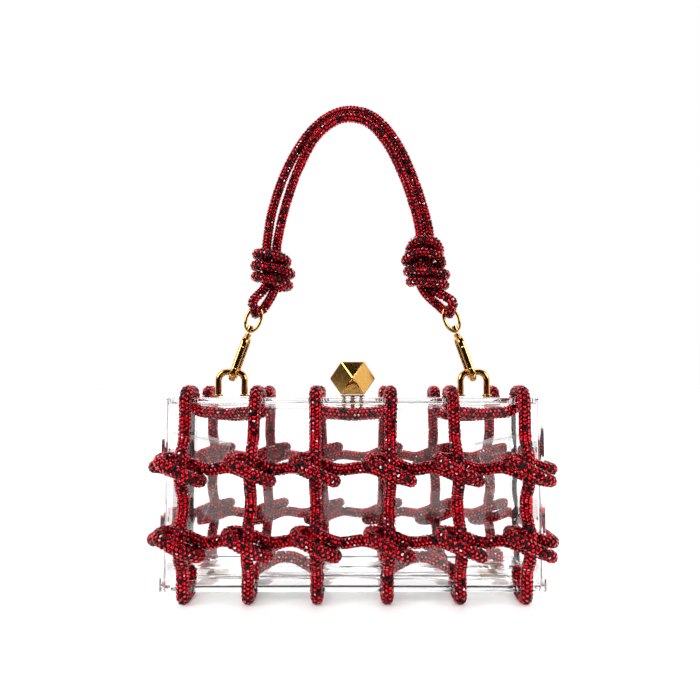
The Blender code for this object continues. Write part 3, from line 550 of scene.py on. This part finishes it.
def stones_mesh(name, parts):
    """One mesh of all the stones on these ropes."""
    centre, right, forward, up = (np.concatenate(group) for group in zip(*parts))
    count, corners = len(centre), len(STONE_POINTS)
    size = SEED.uniform(SMALLEST, LARGEST, count)[:, None, None]
    local = STONE_POINTS[None, :, :] * size
    points = (centre[:, None, :] + local[:, :, :1] * right[:, None, :] + local[:, :, 1:2] * forward[:, None, :]
              + local[:, :, 2:] * up[:, None, :])
    loops = np.concatenate([np.array(face) for face in STONE_FACES])
    sizes = np.array([len(face) for face in STONE_FACES])
    all_loops = (loops[None, :] + corners * np.arange(count)[:, None]).ravel()
    all_sizes = np.tile(sizes, count)
    mesh = bpy.data.meshes.new(name)
    mesh.vertices.add(count * corners)
    mesh.vertices.foreach_set("co", points.astype(np.float32).ravel())
    mesh.loops.add(len(all_loops))
    mesh.loops.foreach_set("vertex_index", all_loops.astype(np.int32))
    mesh.polygons.add(len(all_sizes))
    mesh.polygons.foreach_set("loop_start", np.concatenate([[0], np.cumsum(all_sizes)[:-1]]).astype(np.int32))
    mesh.polygons.foreach_set("loop_total", all_sizes.astype(np.int32))
    mesh.update(calc_edges=True)
    mesh.validate()
    facets = len(STONE_FACES)
    whole = SEED.uniform(0, 1, (count, 1))
    # Painted highlight and shade: each facet's value sets how dark or bright its painted colour is.
    painted_flash = PAINTED_FACET_LIGHT["spread"] * SEED.uniform(0, 1, (count, facets)) + PAINTED_FACET_LIGHT["shared"] * whole
    painted_table_light = PAINTED_FACET_LIGHT["table"] + PAINTED_FACET_LIGHT["table_spread"] * SEED.uniform(0, 1, count)
    painted_flash[:, 0] = np.where(whole[:, 0] < PAINTED_FACET_LIGHT["painted_dark_tables"], PAINTED_FACET_LIGHT["painted_dark_table_value"], painted_table_light)
    number = mesh.attributes.new("facet", "FLOAT", "FACE")
    number.data.foreach_set("value", painted_flash.astype(np.float32).ravel())
    obj = bpy.data.objects.new(name, mesh)
    bpy.context.collection.objects.link(obj)
    return obj, count


# %% [markdown]
# The sleeve is drawn as a dark tube a little below the stones: a curve with a round bevel, turned into a mesh. The
# stones' tables stand 0.2 mm proud of the solid rope, which has only a few flat sides.

# %% Sleeves and whole ropes
SLEEVE_DEPTH = 0.6 * MM
SLEEVE_EVERY = 4
STONES_PROUD = 0.35 * MM


def tube(name, routes, radius, detail=2):
    """A round tube along each of these routes, every one given as points and whether it is closed."""
    curve = bpy.data.curves.new(name, "CURVE")
    curve.dimensions = "3D"
    curve.bevel_depth = radius
    curve.bevel_resolution = detail
    curve.use_fill_caps = True
    for points, closed in routes:
        spline = curve.splines.new("POLY")
        spline.points.add(len(points) - 1)
        spline.use_cyclic_u = closed
        spline.points.foreach_set("co", np.hstack([points, np.ones((len(points), 1))]).ravel())
    obj = bpy.data.objects.new(name, curve)
    bpy.context.collection.objects.link(obj)
    deselect()
    bpy.context.view_layer.objects.active = obj
    obj.select_set(True)
    bpy.ops.object.convert(target="MESH")
    bpy.ops.object.shade_smooth()
    return bpy.context.object


def stone_rope(name, routes, diameter, columns, body):
    """The rope's stones and its dark sleeve in place of the solid."""
    set_on = [dressed(points, closed, diameter + STONES_PROUD, columns) for points, closed in routes]
    stones, count = stones_mesh(name + "_stones", set_on)
    finish_piece(stones, name + "_stones", body, ruby)
    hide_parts(name)
    few = []
    for points, closed in routes:
        kept = points[::SLEEVE_EVERY] if closed else np.vstack([points[:-1:SLEEVE_EVERY], points[-1:]])
        few.append((kept, closed))
    sleeve = tube(name + "_sleeve", few, diameter / 2 - SLEEVE_DEPTH)
    finish_piece(sleeve, name + "_sleeve", body, backing)
    print(name, "stones:", count)
    return count


# %% [markdown]
# Three loops thread each half of the box. A loop comes out of the bottom, climbs the panel over the rows' round turns,
# goes in at the top, hangs as a festoon to the next hole, and comes down the same way. The back has the same net,
# turned half round.

# %% Route of an upright loop
def turned_round(route):
    """The same route on the back, half a turn round the middle of the box."""
    return [Vector((-p[0], -p[1], p[2])) for p in route]


def upright_x(upright, height):
    """Where an upright, given by its foot's and its head's share of the width, stands at this height."""
    share = height / BOX_HEIGHT
    return BOX_WIDTH * (upright[0] * (1 - share) + upright[1] * share)


def upright_corners(upright, inner, inner_bend, rows):
    low, high = upright_x(upright, 0), upright_x(upright, BOX_HEIGHT)
    face, hole = -(PANEL + ROPE_OUT), -HOLE_SETBACK
    raised = face - TURN_STEP * ROPE
    corners = [(inner, inner_bend), ((low, hole, FLAT), HOLE_BEND), ((low, face, FLAT), PANEL_BEND)]
    for row in sorted(rows):
        for y, away in ((face, -BULGE_FOOT), (raised, -BULGE_CROWN), (raised, BULGE_CROWN), (face, BULGE_FOOT)):
            corners.append(((upright_x(upright, row + away), y, BOX_BOTTOM + row + away), 0))
    return corners + [
        ((high, face, BOX_TOP + ROPE_OUT), PANEL_BEND),
        ((high, hole, BOX_TOP + ROPE_OUT), HOLE_BEND),
        ((high, hole, BOX_TOP - FESTOON_DROP), HOLE_BEND),
    ]


def rope_end(upright, toward):
    hole, floor_level = -HOLE_SETBACK, BOX_BOTTOM + ARCH_RISE
    x = upright_x(upright, 0)
    if toward is None:
        return [((x, hole, BOX_BOTTOM + STUB_RISE), 0)]
    middle = (x + upright_x(toward, 0)) / 2
    near = 1 if middle < x else -1
    crown = floor_level + ARCH_CROWN
    return [((middle + near * ROPE_JOIN / 2, hole, crown), 0), ((middle + near * HOLE_BEND, hole, crown), HOLE_BEND),
            ((x, hole, floor_level), HOLE_BEND)]


def net_loop(left, right, outer_left, outer_right, rows):
    def half(upright, toward):
        corners = rope_end(upright, toward)
        return corners[:-1] + upright_corners(upright, *corners[-1], rows)

    middle = (upright_x(left, BOX_HEIGHT) + upright_x(right, BOX_HEIGHT)) / 2
    lowest = (middle, -HOLE_SETBACK, BOX_TOP - FESTOON_DROP - FESTOON_SAG)
    return rounded(half(left, outer_left) + [(lowest, 0)] + half(right, outer_right)[::-1])


# %% Upright loops
NET_COLUMNS = 10
UPRIGHT_SOFTENING = 4 * MM
LOOPS = {"left": (0, 1), "middle": (2, 3), "right": (4, 5)}
total_stones = 0
for half_name, rows, turned in (("front", FRONT_ROWS, False), ("back", BACK_ROWS, True)):
    for side, (first, second) in LOOPS.items():
        before = UPRIGHTS[first - 1] if first else None
        after = UPRIGHTS[second + 1] if second + 1 < len(UPRIGHTS) else None
        route = net_loop(UPRIGHTS[first], UPRIGHTS[second], before, after, rows)
        route = turned_round(route) if turned else route
        soft_route = evened(route, False, UPRIGHT_SOFTENING)
        total_stones += stone_rope(f"{half_name}_rope_{side}", [(soft_route, False)], ROPE, NET_COLUMNS,
                                   f"{half_name}_half")


# %% [markdown]
# One closed rope crosses the uprights twice. At each of them it passes behind, comes round the front and passes
# behind again, a full round turn, and between the rows it runs along the side walls.

# %% Row ropes
ROW_STEPS = 8
ROW_SOFTENING = 3 * MM


def row_points(row, direction):
    points = []
    for upright in UPRIGHTS:
        x = upright_x(upright, row)
        for across, out, up in ROUND_TURN:
            y = -(PANEL + ROPE_OUT) - out * TURN_STEP * ROPE
            points.append((x + across * ROPE, y, BOX_BOTTOM + row + up * ROPE))
    return points[::direction]


def side_points(row_from, row_to, side):
    wall = side * (SIDE + ROPE_OUT)
    shift = side * TURN_LEAN * ROPE
    start, end = BOX_BOTTOM + row_from + shift, BOX_BOTTOM + row_to + shift
    corners = [((wall, -PANEL, start), 0), ((wall, -SIDE_SETBACK, start), SIDE_BEND),
               ((wall, -SIDE_SETBACK, end), SIDE_BEND), ((wall, -PANEL, end), 0)]
    edge_x, edge_y = side * (SIDE + EDGE_SHARE * ROPE_OUT), -(PANEL + EDGE_SHARE * ROPE_OUT)
    return [(edge_x, edge_y, start)] + rounded(corners) + [(edge_x, edge_y, end)]


for half_name, rows, turned in (("front", FRONT_ROWS, False), ("back", BACK_ROWS, True)):
    upper, lower = rows
    upper_side, lower_side = side_points(upper, lower, 1), side_points(lower, upper, -1)
    route = (smooth(row_points(upper, 1), steps=ROW_STEPS)[:-1] + upper_side
             + smooth(row_points(lower, -1), steps=ROW_STEPS)[:-1] + lower_side)
    route = turned_round(route) if turned else route
    soft_route = evened(route, True, ROW_SOFTENING)
    total_stones += stone_rope(f"{half_name}_row_rope", [(soft_route, True)], ROPE, NET_COLUMNS,
                               f"{half_name}_half")

# %% [markdown]
# The handle is one closed rope laid double. It passes through the eye of each clip, and its two strands lie side by
# side in a tall arch. First come the measures of what it hangs from: the staples on the box and the clips' eyes.

# %% Measures of the handle
STAPLE_X, STAPLE_Y, STAPLE_WIRE = 0.3565 * BOX_WIDTH, 5 * MM, 3.75 * MM
STAPLE_WIDTH, STAPLE_HEIGHT, STAPLE_BEND = 19.1 * MM, 16.5 * MM, 5 * MM
STAPLE_BAR = BOX_TOP + STAPLE_HEIGHT - STAPLE_WIRE / 2
CLIP_LEAN, CLIP_INSET = radians(19.5), 1.8 * MM
EYE_RISE, EYE_SIDE, EYE_WIDTH, EYE_HEIGHT, EYE_WIRE = 33.2 * MM, 0.3 * MM, 10.4 * MM, 17.2 * MM, 1.9 * MM
STRANDS_APART, STRANDS_TOUCH, LOOP_BEND = 5.9 * MM, 5.75 * MM, 4.6 * MM
EYE_LOOP = ((0.7, -1.0, 0.4), (0, -0.85, -0.6), (0, 0, -1.0), (0, 0.85, -0.6), (-0.6, 1.0, 0.2))
# Each knot: its place, and left and right end of every wrap with how far its front bows up, in millimetres.
KNOTS = {
    "left": {"x": -48.4 * MM, "rise": 75.5 * MM, "below": 11.2 * MM, "above": 9.5 * MM, "wraps": (
        (-8.6, 8.8, 9.2, 4.8, 1.2), (-9.6, 2.3, 11.6, -2.4, 0.4), (-9.4, -4.2, 10.4, -9.4, 0))},
    "right": {"x": 43.2 * MM, "rise": 79.3 * MM, "below": 15.6 * MM, "above": 13 * MM, "wraps": (
        (-9.0, 7.6, 8.6, 6.2, 6), (-11.4, 1.4, 9.8, -0.4, 5), (-10.4, -4.8, 12.2, -7.0, 0),
        (-8.8, -10.8, 11.6, -13.2, 0))},
}
# The arch from left to right: place, rise above the box and distance between the strands, in millimetres.
HANDLE_ARCH = (
    (-47.2, 97, 6.3), (-41.5, 122, 7.0), (-29.5, 150, 5.5), (-15.3, 166, 5.2), (-1.0, 170.8, 5.3), (14.6, 164.6, 5.5),
    (28.4, 144.6, 5.6), (38.2, 118.4, 5.5), (42.6, 101, 5.6),
)
print("staples stand", round(2 * STAPLE_X / MM, 1), "mm apart")


# %% Handle
HANDLE_COLUMNS = 8
HANDLE_SOFTENING = 1.5 * MM
ARCH_STEPS, LOOP_STEPS, KEPT = 6, 10, 5


def clip_frame(side):
    """The clip's own frame: X across it, Y through the box, Z along it, from the staple's bar."""
    origin = Vector((side * (STAPLE_X - CLIP_INSET), STAPLE_Y, STAPLE_BAR))
    return Matrix.Translation(origin) @ Matrix.Rotation(-side * CLIP_LEAN, 4, "Y")


def through_eye(side):
    """From in front of the eye's wire, down through the eye, and up behind it."""
    lean = Matrix.Rotation(-side * CLIP_LEAN, 3, "Y")
    centre = clip_frame(side) @ Vector((side * EYE_SIDE, 0, EYE_RISE))
    hold = centre + lean @ Vector((0, 0, (EYE_HEIGHT - EYE_WIRE) / 2))
    return [hold + lean @ Vector((side * out, back, up)) * LOOP_BEND for out, back, up in EYE_LOOP]


left_knot, right_knot = KNOTS["left"], KNOTS["right"]
line = [(left_knot["x"], STRANDS_APART, left_knot["rise"] + way) for way in (-left_knot["below"], left_knot["above"])]
line += [(x * MM, apart * MM, rise * MM) for x, rise, apart in HANDLE_ARCH]
line += [(right_knot["x"], STRANDS_APART, right_knot["rise"] + way)
         for way in (right_knot["above"], -right_knot["below"])]
arch = smooth(line, steps=ARCH_STEPS)
strands = {1: [], -1: []}
for before, point, after in zip(arch, arch[1:], arch[2:]):
    across = Vector((before.z - after.z, 0, after.x - before.x)).normalized() * point.y / 2
    behind = Vector((0, max(STRANDS_TOUCH ** 2 - point.y ** 2, 0) ** 0.5 / 2, 0))
    for sign, strand in strands.items():
        strand.append(Vector((point.x, STAPLE_Y, BOX_TOP + point.z)) + sign * (across + behind))
there = strands[1][::KEPT] + through_eye(1)
back_again = strands[-1][::-1][::KEPT] + through_eye(-1)[::-1]
handle = evened(smooth(there + back_again, closed=True, steps=LOOP_STEPS), True, HANDLE_SOFTENING)
total_stones += stone_rope("handle_rope", [(handle, True)], HANDLE_ROPE, HANDLE_COLUMNS, "back_half")

# %% [markdown]
# Near each end of the handle three or four wraps of the same rope bind its two strands. A wrap runs from its left end
# to its right end in front of the strands, and back behind them, and both ends of the rope are tucked in behind.

# %% Handle knots
KNOT_ROPE, KNOT_DEPTH, KNOT_PITCH, KNOT_FULLNESS = 5.6 * MM, 18.6 * MM, 6.2, 0.8
KNOT_STEPS = 24
KNOT_SOFTENING = 3 * MM
TUCK = Vector((0, 4 * MM, 0))
for side, size in KNOTS.items():
    deep = (KNOT_DEPTH - KNOT_ROPE) / 2
    centre = Vector((size["x"], STAPLE_Y, BOX_TOP + size["rise"]))
    turns, bows = [], []
    for left, left_up, right, right_up, bow in size["wraps"]:
        turns += [(left, left_up), (right, right_up)]
        bows += [0, bow]
    turns = [(turns[1][0], turns[1][1] + KNOT_PITCH)] + turns + [(turns[-2][0], turns[-2][1] - KNOT_PITCH)]
    wraps = []
    for i, ((x0, up0), (x1, up1), bow) in enumerate(zip(turns, turns[1:], bows + [0])):
        way = -1 if i % 2 else 1
        start = KNOT_STEPS // 2 if i == 0 else 0
        end = KNOT_STEPS // 2 + 1 if i == len(turns) - 2 else KNOT_STEPS
        for k in range(start, end):
            c, r = cos(pi * k / KNOT_STEPS), sin(pi * k / KNOT_STEPS)
            across = (x0 if c > 0 else x1) * abs(c) ** KNOT_FULLNESS
            up = up0 * (1 + c) / 2 + up1 * (1 - c) / 2 + bow * r
            wraps.append(centre + Vector((across * MM, way * deep * r ** KNOT_FULLNESS, up * MM)))
    wraps = evened([wraps[0] - TUCK] + wraps + [wraps[-1] - TUCK], False, KNOT_SOFTENING)
    total_stones += stone_rope(f"handle_knot_{side}", [(wraps, False)], KNOT_ROPE, HANDLE_COLUMNS,
                               "back_half")
print("stones in all:", total_stones)

# %% [markdown]
# The small fittings are turned and bent parts, so two helpers make them: a rod with soft edges, and the bent tube from
# above. The parts of a fitting are joined, and the joined piece takes the place of the plain solid.

# %% Fitting helpers
WALL_GAP = 0.3 * MM


def rod(low, high, radius, soft_edge):
    """A turned piece along a line, with its edges rounded."""
    low, high = Vector(low), Vector(high)
    deselect()
    bpy.ops.mesh.primitive_cylinder_add(
        vertices=32, radius=radius, depth=(high - low).length, location=(low + high) / 2,
        rotation=(high - low).to_track_quat("Z", "Y").to_euler())
    piece = bpy.context.object
    bevel = piece.modifiers.new("soft edge", "BEVEL")
    bevel.width = soft_edge
    bevel.segments = 3
    bpy.ops.object.modifier_apply(modifier=bevel.name)
    bpy.ops.object.transform_apply(location=True, rotation=True, scale=True)
    return piece


def gold_piece(name, parts, body):
    """The parts as one piece in place of the solid of that name."""
    deselect()
    for part in parts:
        part.select_set(True)
    bpy.context.view_layer.objects.active = parts[0]
    if len(parts) > 1:
        bpy.ops.object.join()
    bpy.ops.object.shade_smooth_by_angle(angle=radians(40))
    piece = finish_piece(bpy.context.object, name + "_plated", body, gold)
    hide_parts(name)


def points_of(route):
    return np.array([tuple(point) for point in route])


# %% [markdown]
# The staples are bent from 3.75 mm wire, each on two collars. A clip is cast: a hook round the staple, a gate that
# closes its front, and an oval eye that turns on the hook's neck.

# %% Staples and clips
CLIP_INSIDE, CLIP_WIRE, CLIP_THICKNESS, CLIP_HEAD = 6.4 * MM, 2.6 * MM, 4 * MM, 17.4 * MM
GATE_LOW, GATE_HIGH, NECK_RADIUS, BARREL_RADIUS, BARREL_HEIGHT = 2.3 * MM, 15.5 * MM, 1.3 * MM, 1.6 * MM, 3.4 * MM
COLLAR_RADIUS, COLLAR_HEIGHT = 2.8 * MM, 1.2 * MM
# The gate's head turns about its pin without touching the hook.
GATE_ROOM = 0.2 * MM
RING_FOOT, RING_TOP, RING_PROUD = 0.9 * MM, 1.9 * MM, 0.7 * MM
WIRE_BEND_STEP, ARC_STEPS, OVAL_STEPS = radians(9), 16, 48
WIRE_DETAIL, EYE_DETAIL = 6, 5
for side_name, side in (("left", -1), ("right", 1)):
    x, half, foot = side * STAPLE_X, (STAPLE_WIDTH - STAPLE_WIRE) / 2, BOX_TOP + WALL_GAP
    bow = rounded([((x - half, STAPLE_Y, foot), 0), ((x - half, STAPLE_Y, STAPLE_BAR), STAPLE_BEND),
                   ((x + half, STAPLE_Y, STAPLE_BAR), STAPLE_BEND), ((x + half, STAPLE_Y, foot), 0)], WIRE_BEND_STEP)
    parts = [tube("bow", [(points_of(bow), False)], STAPLE_WIRE / 2, WIRE_DETAIL)]
    for leg in (x - half, x + half):
        parts.append(rod((leg, STAPLE_Y, foot), (leg, STAPLE_Y, foot + COLLAR_HEIGHT), COLLAR_RADIUS, 0.3 * MM))
    gold_piece(f"staple_{side_name}", parts, "back_half")

    clip_place = clip_frame(side)
    middle = (CLIP_INSIDE + CLIP_WIRE) / 2
    arc = [pi * k / ARC_STEPS for k in range(ARC_STEPS + 1)]
    hook = [(0, -middle, GATE_LOW - WALL_GAP)]
    hook += [(0, -middle * cos(a), -middle * sin(a)) for a in arc]
    hook += [(0, middle * cos(a), CLIP_HEAD + middle * sin(a)) for a in arc]
    hook += [(0, -middle, GATE_HIGH + WALL_GAP)]
    gate = [(0, -middle, GATE_LOW), (0, -middle, GATE_HIGH - GATE_ROOM)]
    shaped = []
    for route in (hook, gate):
        piece = tube("bar", [(points_of(route), False)], CLIP_WIRE / 2, WIRE_DETAIL)
        piece.scale = (CLIP_THICKNESS / CLIP_WIRE, 1, 1)
        bpy.ops.object.transform_apply(location=True, rotation=True, scale=True)
        piece.matrix_world = clip_place
        bpy.ops.object.transform_apply(location=True, rotation=True, scale=True)
        shaped.append(piece)
    neck_foot, neck_top = CLIP_HEAD + middle, EYE_RISE - EYE_HEIGHT / 2 - WALL_GAP
    neck = rod(clip_place @ Vector((0, 0, neck_foot)), clip_place @ Vector((0, 0, neck_top)), NECK_RADIUS, 0.2 * MM)
    ring = rod(clip_place @ Vector((0, 0, neck_foot + RING_FOOT)), clip_place @ Vector((0, 0, neck_foot + RING_TOP)),
               NECK_RADIUS + RING_PROUD, 0.3 * MM)
    gold_piece(f"clip_{side_name}_hook", [shaped[0], neck, ring], "back_half")
    gold_piece(f"clip_{side_name}_gate", [shaped[1]], f"{side_name}_gate")

    half_x, half_z = (EYE_WIDTH - EYE_WIRE) / 2, (EYE_HEIGHT - EYE_WIRE) / 2
    eye_middle = Vector((side * EYE_SIDE, 0, EYE_RISE))
    angles = [2 * pi * k / OVAL_STEPS for k in range(OVAL_STEPS)]
    oval = [clip_place @ (eye_middle + Vector((half_x * cos(a), 0, half_z * sin(a)))) for a in angles]
    barrel = rod(clip_place @ (eye_middle - Vector((0, 0, half_z))),
                 clip_place @ (eye_middle - Vector((0, 0, half_z - BARREL_HEIGHT))), BARREL_RADIUS, 0.25 * MM)
    loop = tube("oval", [(points_of(oval), True)], EYE_WIRE / 2, EYE_DETAIL)
    gold_piece(f"clip_{side_name}_eye", [loop, barrel], "back_half")
    print("staple and clip made:", side_name)

# %% [markdown]
# A rivet's head is a low round button on the outside of a side wall. Two on each half hold a gusset's tab.

# %% Rivets
RIVET_RADIUS, RIVET_HEIGHT, RIVET_Y, RIVET_ABOVE_ROW = 1.5 * MM, 0.9 * MM, 25.5 * MM, 9 * MM
for side_name, side in (("left", -1), ("right", 1)):
    for half_name, toward, rows in (("front", -1, FRONT_ROWS), ("back", 1, BACK_ROWS)):
        for level, row in zip(("upper", "lower"), rows):
            inner, z = side * (SIDE + WALL_GAP), BOX_BOTTOM + row + RIVET_ABOVE_ROW
            head = rod((inner, toward * RIVET_Y, z), (inner + side * RIVET_HEIGHT, toward * RIVET_Y, z),
                       RIVET_RADIUS, 0.4 * MM)
            gold_piece(f"rivet_{side_name}_{half_name}_{level}", [head], f"{half_name}_half")
print("rivets made")

# %% [markdown]
# A gusset keeps the box from falling open. It is a sheet with a tab riveted to each side wall, and it folds inwards
# along its middle, deeper at the top than at the foot.

# %% Gussets
GUSSET_GAP = 0.7 * MM
GUSSET = {"wall": SIDE - WALL - GUSSET_GAP, "seam": 22 * MM, "tab": 7 * MM, "foot": 8 * MM, "top": 82 * MM,
          "dip": 7 * MM, "foot_depth": 4 * MM, "depth": 28 * MM}
# The fold itself is a small round, not a knife's edge.
FOLD_ROUND = 1.2 * MM
HEM_LINE, FOLD_LINE = 0.5 * MM, 0.6 * MM
ACROSS, UP = 56, 24
for side_name, side in (("left", -1), ("right", 1)):
    deselect()
    bpy.ops.mesh.primitive_grid_add(x_subdivisions=ACROSS, y_subdivisions=UP, size=1)
    gusset = bpy.context.object
    flat = np.array([tuple(v.co) for v in gusset.data.vertices]) + 0.5
    y = (GUSSET["seam"] + GUSSET["tab"]) * (2 * flat[:, 0] - 1)
    share = flat[:, 1]
    depth = GUSSET["foot_depth"] + share * (GUSSET["depth"] - GUSSET["foot_depth"])
    away = np.hypot(y, FOLD_ROUND)
    inward = np.clip(1 - away / GUSSET["seam"], 0, None)
    height = BOX_BOTTOM + GUSSET["foot"] + share * (GUSSET["top"] - GUSSET["foot"])
    shape = np.stack([side * (GUSSET["wall"] - depth * inward), y, height - share * GUSSET["dip"] * inward], axis=1)
    gusset.data.vertices.foreach_set("co", shape.astype(np.float32).ravel())
    line = gusset.data.attributes.new("line", "FLOAT", "POINT")
    from_side = np.minimum(flat[:, 0], 1 - flat[:, 0]) * 2 * (GUSSET["seam"] + GUSSET["tab"])
    from_end = np.minimum(share, 1 - share) * (GUSSET["top"] - GUSSET["foot"])
    hem = np.minimum(from_side, from_end)
    line.data.foreach_set("value", ((hem < HEM_LINE) | (np.abs(y) < FOLD_LINE)).astype(np.float32))
    gusset.name = f"gusset_{side_name}_sheet"
    gusset.data.name = gusset.name
    gusset.data.materials.append(vinyl)
    bpy.ops.object.shade_smooth()
    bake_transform(gusset)
    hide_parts(f"gusset_{side_name}")
